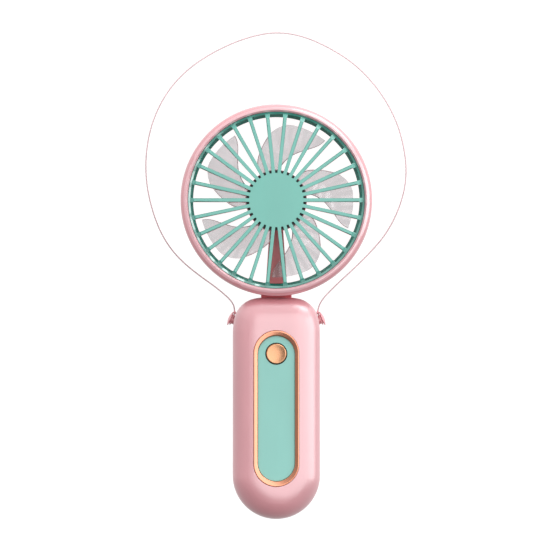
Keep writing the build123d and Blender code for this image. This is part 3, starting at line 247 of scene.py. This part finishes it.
def make_materials():
    """Every finish: the record's slots by their own names, and the special ones below."""
    return {
        "pink": plastic("pink_satin", (0.66, 0.268, 0.302), 0.42, coat=1.0, gleam=1.0),
        # Lit and shaded copies of the ring's pink: the crown's paler pink is a painted sheen, and the outer
        # side's deeper pink is a painted shade.
        "ring": plastic("pink_crown_painted_sheen", (0.80, 0.42, 0.46), 0.36, coat=1.0, gleam=1.0, coat_rough=0.20),
        "ring_flank_painted_shade": plastic("pink_flank_painted_shade", (0.72, 0.27, 0.305), 0.36, coat=1.0, gleam=1.0,
                             coat_rough=0.20),
        "mint": plastic("mint_satin", (0.050, 0.36, 0.29), 0.42, coat=0.55, gleam=0.6),
        "panel": plastic("mint_panel", (0.14, 0.44, 0.38), 0.40, grain_depth=0.003, coat=0.5),
        # Painted shade: a deeper, less shiny pink for the faces inside the duct, which lie in shade.
        "pink_duct_painted_shade": plastic("pink_duct_painted_shade", (0.75, 0.25, 0.265), 0.5, gleam=0.35),
        # Painted shade: a deep, nearly unshining green for the grille's throat.
        "mint_throat_painted_shade": plastic("mint_throat_painted_shade", (0.004, 0.26, 0.195), 0.5, gleam=0.03),
        "mint_rim": plastic("mint_rim", (0.013, 0.26, 0.20), 0.3, coat=1.0, gleam=1.0, coat_rough=0.14),
        # Painted shade: the neck is a dark red pink, for the shade between the head and the handle.
        "neck": plastic("neck_pink_painted_shade", (0.66, 0.13, 0.15), 0.5, gleam=0.3),
        "peg": plastic("pink_peg", (0.82, 0.285, 0.325), 0.40, coat=0.7, gleam=0.8),
        # Painted shade: the impeller's hub is near black, for the deep shade behind the grille's disc.
        "hub_painted_shade": plastic("hub_painted_shade", (0.02, 0.018, 0.02), 0.35),
        "rose_gold": metal("rose_gold_satin", (0.90, 0.39, 0.245), 0.22, scale=5200, change=0.035,
                           grain_depth=0.0006),
        # Painted shade: a near-black line on the blades' steep leading edges.
        "leading_edge_painted_shade": plastic("leading_edge_painted_shade", (0.07, 0.022, 0.028), 0.25),
        "button": metal("rose_gold_dished", (0.70, 0.36, 0.20), 0.26, scale=5200, change=0.03,
                        grain_depth=0.0006),
        "smoke": smoky("smoky_clear"),
        "steel": metal("turned_steel", (0.58, 0.58, 0.60), 0.28),
        "cell": metal("plated_can", (0.64, 0.64, 0.66), 0.24),
        "bronze": metal("sintered_bronze", (0.66, 0.42, 0.20), 0.45, scale=2600, grain_depth=0.01),
        "copper": metal("enamelled_copper", (0.74, 0.33, 0.15), 0.32, (0.2, 0.2, 4), 1500, grain_depth=0.03),
        "magnet": plastic("ferrite", (0.055, 0.055, 0.06), 0.55, grain_depth=0.02),
        "black_plastic": plastic("black_plastic", (0.025, 0.025, 0.027), 0.45),
        "board": circuit_board("circuit_board"),
        "sleeve": plastic("cell_sleeve", (0.06, 0.17, 0.42), 0.25, grain_depth=0.002, coat=0.5),
        "foam": plastic("black_foam", (0.05, 0.05, 0.055), 0.85, grain=1500, grain_depth=0.12),
        "wire_red": plastic("red_wire", (0.50, 0.025, 0.02), 0.42),
        "wire_black": plastic("black_wire", (0.022, 0.022, 0.024), 0.42),
        "cord": twisted("cord_yarn", (0.70, 0.52, 0.54), CORD_LENGTH, STRAND_PITCH, 3),
        "knot": wound("cord_knots", (0.95, 0.46, 0.50)),
    }


# Nodes with another finish than their slot's.
SPECIAL_FINISH = {
    "front_panel": "panel",
    # The ring takes the paler pink of painted sheen, and the rear shell takes the deeper pink of painted
    # shade.
    "head_front": "ring",
    "head_rear": "ring_flank_painted_shade",
    "button_cap": "button",
    # The neck takes a dark pink of painted shade.
    "neck": "neck",
    "peg_left": "peg",
    "peg_right": "peg",
    "cord_end_left": "knot",
    "cord_end_right": "knot",
}


def finish_of(name):
    return MATERIALS[SPECIAL_FINISH.get(name, rows[name]["material_slot"])]


def dress_nodes():
    """Every CAD node gets its finish, in place of the record's plain colour."""
    for name in rows:
        for slot in nodes[name].material_slots:
            slot.material = finish_of(name)


# ---- what every new piece needs ----

def body_of(name):
    bodies = frame["record"]["behaviour"]["bodies"]
    return next(body for body, members in bodies.items() if name in members)


def stand_in(piece_name, data, name, finishes):
    """A new piece made of data, in place of a CAD node: on the node's body, and with its slot."""
    piece = bpy.data.objects.new(piece_name, data)
    bpy.context.collection.objects.link(piece)
    for finish in finishes:
        data.materials.append(finish)
    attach(piece, body_of(name))
    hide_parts(name)
    return piece


def shaded_data(piece_name, mesh):
    """Mesh data with smooth faces between its sharp edges."""
    data = bpy.data.meshes.new(piece_name)
    mesh.to_mesh(data)
    mesh.free()
    data.shade_smooth()
    data.set_sharp_from_angle(angle=math.radians(42))
    return data


# ---- moulded copies: CAD nodes with rounded edges and even shading ----

# Edge rounding of each visible node, in millimetres.
EDGE_ROUND = {
    "head_front": 0.22,
    "head_rear": 0.20,
    "rear_guard": 0.12,
    "front_grille": 0.22,
    "impeller": 0.22,
    "handle_front": 0.16,
    "handle_back": 0.16,
    "neck": 0.30,
    "front_panel": 0.06,
    "button_cap": 0.08,
    "peg_left": 0.14,
    "peg_right": 0.14,
    "strut_cover": 0.10,
    "motor_screws": 0.08,
    "handle_screws": 0.08,
    "usb_shell": 0.06,
}
FLAT_ANGLE = math.radians(1.2)       # faces that meet at less than this are one flat face
EDGE_ANGLE = math.radians(32)        # and edges over this are rounded
NEAR = 0.05                          # how close a height has to be to count as the same, in millimetres


def joined_mesh(source):
    """A copy of a node's mesh with its split corners joined and its flat areas free of cross edges."""
    mesh = bmesh.new()
    mesh.from_mesh(source.data)
    bmesh.ops.remove_doubles(mesh, verts=mesh.verts, dist=0.0008 * MM)
    bmesh.ops.dissolve_degenerate(mesh, edges=mesh.edges, dist=0.0004 * MM)
    bmesh.ops.dissolve_limit(mesh, angle_limit=FLAT_ANGLE, verts=mesh.verts, edges=mesh.edges)
    bmesh.ops.recalc_face_normals(mesh, faces=mesh.faces)
    return mesh


def round_edges(mesh, edges, width, segments=2, profile=0.6):
    """Rounded edges of a width in millimetres."""
    bmesh.ops.bevel(mesh, geom=edges, offset=width * MM, offset_type="OFFSET", segments=segments,
                    profile=profile, affect="EDGES", clamp_overlap=True)


def sharp_edges(mesh):
    return [e for e in mesh.edges if len(e.link_faces) == 2 and e.calc_face_angle(0) > EDGE_ANGLE]


def head_radius(place):
    """Distance from the head's axis, in millimetres."""
    return math.hypot(place.x - HEAD.x, place.y - HEAD.y) / MM


def slice_faces(mesh, chosen, planes):
    """Cross edges where planes, each a point and a normal, cut the chosen faces, so that they can be bent."""
    for point, normal in planes:
        mesh.normal_update()
        faces = [f for f in mesh.faces if chosen(f)]
        parts = {e for f in faces for e in f.edges} | {v for f in faces for v in f.verts}
        bmesh.ops.bisect_plane(mesh, geom=faces + list(parts), plane_co=point, plane_no=normal, dist=1e-6)


# The grille, in millimetres: the rim's inner edge, how far its face is below the spokes and how far that
# edge is lowered, and the rounding of the spokes' long edges.
RIM_IN_R, RIM_BELOW, RIM_DROP = 41.2, 1.6, 0.6
RIM_SLICES = 45
SPOKE_ROUND, SPOKE_EDGE = 0.42, 12.0


def at_rim_height(place):
    return abs(place.z - GRILLE_TOP + RIM_BELOW * MM) < NEAR * MM


def on_rim(face):
    return face.normal.z > 0.99 and at_rim_height(face.calc_center_median())


def soften_grille(mesh):
    """The rim's face slopes inwards, and the long top edges of the spokes are rounded more than the rest."""
    turns = [math.pi * (i + 0.5) / RIM_SLICES for i in range(RIM_SLICES)]
    slice_faces(mesh, on_rim, [(HEAD, Vector((math.cos(turn), math.sin(turn), 0))) for turn in turns])
    for vertex in mesh.verts:
        if abs(head_radius(vertex.co) - RIM_IN_R) < 0.12 and at_rim_height(vertex.co):
            vertex.co.z -= RIM_DROP * MM
    tops = [e for e in mesh.edges if e.calc_length() > SPOKE_EDGE * MM and e.calc_face_angle(0) > EDGE_ANGLE
            and min(v.co.z for v in e.verts) > GRILLE_TOP - 2 * NEAR * MM]
    round_edges(mesh, tops, SPOKE_ROUND, 3, 0.5)


# Where a piece's finish changes, in millimetres: radii from the head's axis, and depths below a top.
CROWN_R, DUCT_R, THROAT_R, FOOT_R, HUB_R = 44.35, 41.5, 41.15, 38.0, 14.2
THROAT_BELOW = 2.2
FLANGE_BELOW = 0.47          # the button's flange starts this far below its top
HOLE_EDGE_R = 5.5            # the chamfer of the button's hole ends inside this radius


def ring_flank_painted_shade(face):
    """The ring's outer side is a deeper pink than its crown: a painted shade, beside the crown's painted
    sheen.
    """
    return head_radius(face.calc_center_median()) > CROWN_R


# The faces inside the duct, which take the painted shade.
def inside_duct(face):
    return head_radius(face.calc_center_median()) < DUCT_R


def impeller_finish(face):
    """The hub is painted dark as shade, and the steep narrow faces of the blades' leading edges are a thin
    dark line of painted shade.
    """
    centre = face.calc_center_median()
    radius = head_radius(centre)
    if radius < HUB_R:
        return 1
    onward = Vector((HEAD.y - centre.y, centre.x - HEAD.x, 0)).normalized()
    return 2 if face.normal.dot(onward) > 0.12 and abs(face.normal.z) < 0.55 else 0


def grille_finish(face):
    """The grille's throat, a deep green of painted shade, and its glossier rim, but not the spokes or their
    feet.
    """
    centre = face.calc_center_median()
    radius = head_radius(centre)
    if radius > THROAT_R:
        return 2
    return int(radius > FOOT_R and centre.z < GRILLE_TOP - THROAT_BELOW * MM)


# Painted shade: the button's flange is black, so that the gap round the button shows dark.
def button_flange(face):
    return max(v.co.z for v in face.verts) < button_high.z - FLANGE_BELOW * MM


# Painted shade: the chamfer of the button's hole is black, so that the gap round the button shows dark.
def button_hole(face):
    return max((v.co - BUTTON).xy.length for v in face.verts) < HOLE_EDGE_R * MM


# The blades' leading corners, in millimetres and degrees: the tip's radius, the leading edge's angle at two
# radii on the first blade, the pitch of the blades and the corner's rounding.
TIP_R = 37.0
LEADING = ((32.5, 94.8), (37.5, 86.0))
BLADE_PITCH, TRAILING_DEG = 72.0, 50.4
CORNER_R = 5.5


def leading_angle(radius):
    (near_r, near_deg), (far_r, far_deg) = LEADING
    return near_deg + (far_deg - near_deg) * (radius - near_r) / (far_r - near_r)


def round_blade_corners(mesh):
    """What stands outside the rounded leading corner of a blade is drawn in to the corner's arc."""
    for vertex in mesh.verts:
        radius = head_radius(vertex.co)
        turn = math.degrees(math.atan2(vertex.co.y - HEAD.y, vertex.co.x - HEAD.x))
        whole = math.floor((turn - TRAILING_DEG) / BLADE_PITCH) * BLADE_PITCH
        behind = math.radians(leading_angle(radius) - turn + whole) * radius
        if radius < TIP_R - CORNER_R or behind > CORNER_R:
            continue
        from_centre = Vector((CORNER_R - behind, CORNER_R - TIP_R + radius))
        if from_centre.length <= CORNER_R:
            continue
        from_centre = from_centre.normalized() * CORNER_R
        radius = TIP_R - CORNER_R + from_centre.y
        behind = CORNER_R - from_centre.x
        turn = math.radians(leading_angle(radius) + whole) - behind / radius
        vertex.co.x = HEAD.x + radius * math.cos(turn) * MM
        vertex.co.y = HEAD.y + radius * math.sin(turn) * MM


# The CAD shell has a plain round edge. The real one eases into the face over a wider band, and more so at the
# lower end. All in millimetres: the band's width and how far it drops, and the stretch of y over which it
# changes to the lower end's.
CAD_ROUND = 7.0
EASED_REACH, EASED_DEPTH = 13.5, 7.6
END_REACH, END_DEPTH = 15.5, 9.6
END_START, END_FULL = -79.0, -91.0
EASED_POWER = 2.6            # 2 would be an ellipse, which meets the face with a visible line
FIXED_BELOW, FREE_OVER = 20, 3       # nothing moves below this height; this far above it all of it does
# Where the face is sliced so that it can bend: closely at the ends, and further apart along the sides.
SLICES_X = range(-14, 15)
SLICES_Y = (*range(-93, -73), *range(-70, -10, 4), *range(-9, 1))


def round_depth(inset, reach, depth, power=2.0):
    """How far a round edge lies below its face, this far in from the outline."""
    across = 1 - max(inset, 0.0) / reach
    return depth * (1 - math.sqrt(1 - across ** power)) if across > 0 else 0.0


def plan_sides(mesh):
    """The sides of the shell's outline seen from above, each as a point and the direction inwards."""
    flat = [vertex.co.xy / MM for vertex in mesh.verts]
    corners = [flat[index] for index in convex_hull_2d(flat)]
    sides = []
    for start, end in zip(corners, corners[1:] + corners[:1]):
        along = (end - start).normalized()
        sides.append((start, Vector((-along.y, along.x))))
    return sides


def is_free(face):
    return face.calc_center_median().z > FIXED_BELOW * MM


def ease_front(mesh):
    """The front shell's edge is eased: every vertex of the face and the round drops to the new profile."""
    sides = plan_sides(mesh)
    along_x = [(Vector((x * MM, 0, 0)), Vector((1, 0, 0))) for x in SLICES_X]
    slice_faces(mesh, lambda face: face.normal.z > 0.999 and is_free(face), along_x)
    along_y = [(Vector((0, y * MM, 0)), Vector((0, 1, 0))) for y in SLICES_Y]
    slice_faces(mesh, lambda face: face.normal.z > 0.02 and is_free(face), along_y)
    for vertex in mesh.verts:
        height = vertex.co.z / MM
        if height < FIXED_BELOW:
            continue
        place = vertex.co.xy / MM
        inset = min(abs((place - start).dot(inward)) for start, inward in sides)
        end = min(1.0, max(0.0, (place.y - END_START) / (END_FULL - END_START)))
        end = end * end * (3 - 2 * end)      # smooth at both ends of the stretch
        reach = EASED_REACH + (END_REACH - EASED_REACH) * end
        depth = EASED_DEPTH + (END_DEPTH - EASED_DEPTH) * end
        drop = round_depth(inset, reach, depth, EASED_POWER) - round_depth(inset, CAD_ROUND, CAD_ROUND)
        vertex.co.z -= drop * min(1.0, (height - FIXED_BELOW) / FREE_OVER) * MM


# Extra shaping of a moulded copy, and its faces with another finish, most of them painted shade: a function
# that says which finish a face has, 0 for the piece's own, and the names of the others from 1 up.
RESHAPE = {"front_grille": soften_grille, "handle_front": ease_front, "impeller": round_blade_corners}
FACES_WITH_PAINTED_SHADE = {
    # The impeller's hub and the blades' leading edges take painted shade.
    "impeller": (impeller_finish, "hub_painted_shade", "leading_edge_painted_shade"),
    # The button's flange and its hole's chamfer are black as painted shade in the gap round the button.
    "button_cap": (button_flange, "black_plastic"),
    "front_panel": (button_hole, "black_plastic"),
    # The ring's outer side takes the deeper pink of painted shade.
    "head_front": (ring_flank_painted_shade, "ring_flank_painted_shade"),
    # The duct's inside faces take the deeper pink of painted shade.
    "head_rear": (inside_duct, "pink_duct_painted_shade"),
    "rear_guard": (inside_duct, "pink_duct_painted_shade"),
    "strut_cover": (inside_duct, "pink_duct_painted_shade"),
    # The grille's throat takes the deep green of painted shade; its rim is a glossier finish.
    "front_grille": (grille_finish, "mint_throat_painted_shade", "mint_rim"),
}


def moulded(name):
    """A new piece in place of a node: the same shape with rounded edges."""
    mesh = joined_mesh(nodes[name])
    if name in RESHAPE:
        RESHAPE[name](mesh)
    round_edges(mesh, sharp_edges(mesh), EDGE_ROUND[name])
    finishes = [finish_of(name)]
    if name in FACES_WITH_PAINTED_SHADE:
        which, *face_finishes = FACES_WITH_PAINTED_SHADE[name]
        for face in mesh.faces:
            face.material_index = int(which(face))
        finishes += [MATERIALS[finish] for finish in face_finishes]
    data = shaded_data(name + "_moulded", mesh)
    piece = stand_in(name + "_moulded", data, name, finishes)
    piece.modifiers.new("even_shading", "WEIGHTED_NORMAL").keep_sharp = True


# Section of the rose-gold frame, from its flange's outer corner to its inner wall: half width and half
# length of the slot shape at that point, and the height, all in millimetres.
FRAME_SECTION = (
    (11.80, 38.35, 27.0),
    (11.80, 38.35, 28.1),
    (11.00, 37.55, 28.1),
    (10.92, 37.47, 29.6),
    (10.88, 37.43, 29.95),
    (10.78, 37.33, 30.1),
    (10.60, 37.15, 30.15),
    (10.44, 36.98, 30.13),
    (10.20, 36.66, 30.07),
    (9.30, 35.36, 29.80),
    (9.16, 35.14, 29.75),
    (9.06, 35.02, 29.66),
    (9.00, 34.95, 29.50),
    (9.00, 34.95, 27.0),
)
FRAME_STEPS = 36             # steps round each end


def make_frame():
    """The frame round the mint panel: one section carried round a slot shape."""
    low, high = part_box("panel_frame")
    mid_y = (low.y + high.y) / 2
    mesh = bmesh.new()
    rings = []
    for step in range(2 * FRAME_STEPS + 2):
        upper = step <= FRAME_STEPS
        turn = math.pi * (step if upper else step - 1) / FRAME_STEPS
        ring = []
        for half_width, half_length, height in FRAME_SECTION:
            spine = (half_length - half_width) * (1 if upper else -1)
            along = mid_y + (spine + half_width * math.sin(turn)) * MM
            ring.append(mesh.verts.new((half_width * math.cos(turn) * MM, along, height * MM)))
        rings.append(ring)
    for ring, following in zip(rings, rings[1:] + rings[:1]):
        for index in range(len(ring)):
            after = (index + 1) % len(ring)
            mesh.faces.new((ring[index], following[index], following[after], ring[after]))
    bmesh.ops.recalc_face_normals(mesh, faces=mesh.faces)
    data = shaded_data("panel_frame_moulded", mesh)
    stand_in("panel_frame_moulded", data, "panel_frame", [finish_of("panel_frame")])


# ---- cord ----

CORD_D = 0.7 * MM
CORD_LENGTH = 376.3 * MM
FLOOR_Z = 0.36               # the height of the cord's middle where it lies on the surface, in millimetres
# The cord's route, in millimetres: knot, down to the surface, round the head, and up again.
CORD_ROUTE = (
    (-20.168, 0.58, 14.631),
    (-20.3, 2.5, 13.9),
    (-21.6, 5.0, 12.2),
    (-24.7, 8.1, 9.4),
    (-30.2, 12.5, 5.5),
    (-37.2, 17.4, 2.3),
    (-44.4, 23.1, 0.7),
    (-50.8, 29.8, FLOOR_Z),
    (-56.2, 38.4, FLOOR_Z),
    (-60.4, 49.6, FLOOR_Z),
    (-63.2, 63.0, FLOOR_Z),
    (-63.3, 77.2, FLOOR_Z),
    (-60.2, 92.4, FLOOR_Z),
    (-53.0, 106.8, FLOOR_Z),
    (-42.6, 118.0, FLOOR_Z),
    (-29.6, 126.4, FLOOR_Z),
    (-15.4, 132.6, FLOOR_Z),
    (-1.2, 135.7, FLOOR_Z),
    (12.4, 133.9, FLOOR_Z),
    (26.2, 127.8, FLOOR_Z),
    (39.0, 119.4, FLOOR_Z),
    (50.4, 106.9, FLOOR_Z),
    (58.4, 92.6, FLOOR_Z),
    (62.5, 77.4, FLOOR_Z),
    (63.2, 63.4, FLOOR_Z),
    (59.6, 49.6, FLOOR_Z),
    (53.2, 37.4, FLOOR_Z),
    (45.2, 28.3, FLOOR_Z + 0.1),
    (37.9, 21.1, 2.3),
    (31.4, 15.2, 5.1),
    (26.9, 10.9, 8.4),
    (23.0, 6.9, 11.4),
    (20.6, 3.3, 13.6),
    (20.058, 0.591, 14.629),
)


# How each end is tied, in millimetres: the peg's place and tilt, where the loop lies on its stem and how wide
# it is, the knot's distance from the peg's axis, and what is cord before and after the knot.
PEG_X, PEG_Y, PEG_Z = 20.35, -4.0, 15.0
PEG_TILT = math.radians(23.5)
LOOP_OUT, LOOP_R = 1.1, 2.57
LOOP_APART = 0.15            # how far each side of the knot's middle the loop's two ends go in
KNOT_OUT, KNOT_TAIL, KNOT_NECK = 3.4, 0.6, 1.1
WRAP_R, WRAP_LONG = 0.40, 1.0        # the wraps' radius and the length that they cover
WRAP_SIZE, WRAP_TURNS, WRAP_STEPS = 0.72, 3, 12
# The side of each end, and the way that the cord leaves its knot.
ENDS = {
    "cord_end_left": (-1, (-0.15, 0.93, -0.335)),
    "cord_end_right": (1, (0.05, 0.94, -0.337)),
}


def cord_curve(name):
    """An empty curve as thick as the cord."""
    curve = bpy.data.curves.new(name, "CURVE")
    curve.dimensions = "3D"
    curve.bevel_depth = CORD_D / 2
    curve.bevel_resolution = 3
    return curve


def add_run(curve, places, size=1.0):
    """One smooth run of cord, its places in millimetres, and its size as a share of the cord's thickness."""
    spline = curve.splines.new("NURBS")
    spline.points.add(len(places) - 1)
    for point, place in zip(spline.points, places):
        point.co = (*(Vector(place) * MM), 1)
        point.radius = size
    spline.order_u = min(3, len(places))
    spline.use_endpoint_u = True


def tie_end(name):
    """The loop round a peg's stem, the wraps of its knot and the neck that the cord leaves by."""
    side, way = ENDS[name]
    way = Vector(way).normalized()
    axis = Vector((side * math.cos(PEG_TILT), math.sin(PEG_TILT), 0))
    across = Vector((-side * math.sin(PEG_TILT), math.cos(PEG_TILT), 0))
    middle = Vector((side * PEG_X, PEG_Y, PEG_Z)) + axis * LOOP_OUT
    knot = middle + across * KNOT_OUT
    curve = cord_curve(name + "_tied")
    curve.use_fill_caps = True
    turns = [math.radians(degrees) for degrees in range(40, 321, 20)]
    round_stem = [middle + (across * math.cos(turn) + UP * math.sin(turn)) * LOOP_R for turn in turns]
    add_run(curve, [knot + UP * LOOP_APART, *round_stem, knot - UP * LOOP_APART])
    first = way.orthogonal().normalized()
    second = way.cross(first)
    wraps = []
    for step in range(WRAP_TURNS * WRAP_STEPS + 1):
        turn = math.tau * step / WRAP_STEPS
        along = (step / (WRAP_TURNS * WRAP_STEPS) - 0.5) * WRAP_LONG
        wraps.append(knot + way * along + (first * math.cos(turn) + second * math.sin(turn)) * WRAP_R)
    add_run(curve, wraps, WRAP_SIZE)
    add_run(curve, [knot - way * KNOT_TAIL, knot + way * KNOT_NECK])
    return stand_in(name + "_tied", curve, name, [finish_of(name)])


def make_cord():
    """The wrist cord, one open smooth spline on the route's points."""
    curve = cord_curve("wrist_cord")
    curve.resolution_u = 10
    add_run(curve, CORD_ROUTE)
    cord = stand_in("wrist_cord", curve, "cord", [finish_of("cord")])
    [tie_end(name) for name in ENDS]


# ---- stage and light ----

FLOOR_REACH = 8.0


def make_floor():
    """A plain, nearly white surface that is lit from inside as well, like a light table."""
    mesh = bpy.data.meshes.new("floor")
    corners = [(x * FLOOR_REACH, y * FLOOR_REACH, 0) for x, y in ((-1, -1), (1, -1), (1, 1), (-1, 1))]
    mesh.from_pydata(corners, [], [(0, 1, 2, 3)])
    floor = bpy.data.objects.new("floor", mesh)
    floor.location.z = -0.01 * MM
    bpy.context.collection.objects.link(floor)
    material, tree, shader = new_material("floor_white")
    tint = between(tree, object_noise(tree, 3.0, 2.0), 0, 1)
    colours = tinted(tree, tint, (0.20, 0.20, 0.20), (0.23, 0.23, 0.23))
    tree.links.new(colours, shader.inputs["Base Color"])
    shader.inputs["Roughness"].default_value = 0.9
    shader.inputs["Specular IOR Level"].default_value = 0.1
    shader.inputs["Emission Color"].default_value = (1, 1, 1, 1)
    shader.inputs["Emission Strength"].default_value = 0.97
    mesh.materials.append(material)
    floor.visible_diffuse = floor.visible_glossy = False     # its glow doesn't tint the fan


# Round area lights: place, target, size in metres, power in watts, and whether the surfaces mirror it.
LIGHTS = {
    "key": ((0.50, 0.86, 0.46), (0, 0.02, 0.015), 0.80, 4.0, True),
    "side": ((1.08, 0.10, 0.66), (0, 0, 0.015), 0.95, 4.3, True),
    "softbox": ((0.42, -0.02, 1.5), (0, 0, 0.015), 1.55, 8.2, True),
    "fill": ((-0.90, 0.50, 1.2), (0, 0, 0.015), 1.2, 7.5, False),
}


def make_light(name):
    place, target, size, watts, mirrored = LIGHTS[name]
    data = bpy.data.lights.new(name, "AREA")
    data.shape = "DISK"
    data.size = size
    data.energy = watts
    light = bpy.data.objects.new(name, data)
    light.location = place
    aim = Vector(target) - Vector(place)
    light.rotation_euler = aim.to_track_quat("-Z", "Y").to_euler()
    light.visible_camera = False
    light.visible_glossy = mirrored
    bpy.context.collection.objects.link(light)


TENT_BRIGHT_WAY = Vector((0.17, 0.80, -0.58)).normalized()
TENT_DARKEST, TENT_BRIGHTEST = 0.12, 1.30


def make_world():
    """A light tent, whose brightness changes evenly from one side to the other."""
    world = bpy.data.worlds.new("tent")
    world.use_nodes = True
    bpy.context.scene.world = world
    tree = world.node_tree
    background = tree.nodes["Background"]
    place = node(tree, "ShaderNodeTexCoord")
    aim = node(tree, "ShaderNodeVectorMath", operation="DOT_PRODUCT")
    aim.inputs[1].default_value = TENT_BRIGHT_WAY
    tree.links.new(place.outputs["Generated"], aim.inputs[0])
    ramp = node(tree, "ShaderNodeMapRange", From_Min=-1.0, From_Max=1.0, To_Min=TENT_DARKEST,
                To_Max=TENT_BRIGHTEST)
    tree.links.new(aim.outputs["Value"], ramp.inputs["Value"])
    tree.links.new(ramp.outputs["Result"], background.inputs["Strength"])
    background.inputs["Color"].default_value = (1, 1, 1, 1)


def make_stage():
    make_floor()
    make_world()
    for name in LIGHTS:
        make_light(name)
    settings = bpy.context.scene.view_settings
    settings.view_transform = "Standard"
    settings.look = "None"


make_camera()
make_stage()
MATERIALS = make_materials()
dress_nodes()
for name in EDGE_ROUND:
    moulded(name)
make_frame()
make_cord()
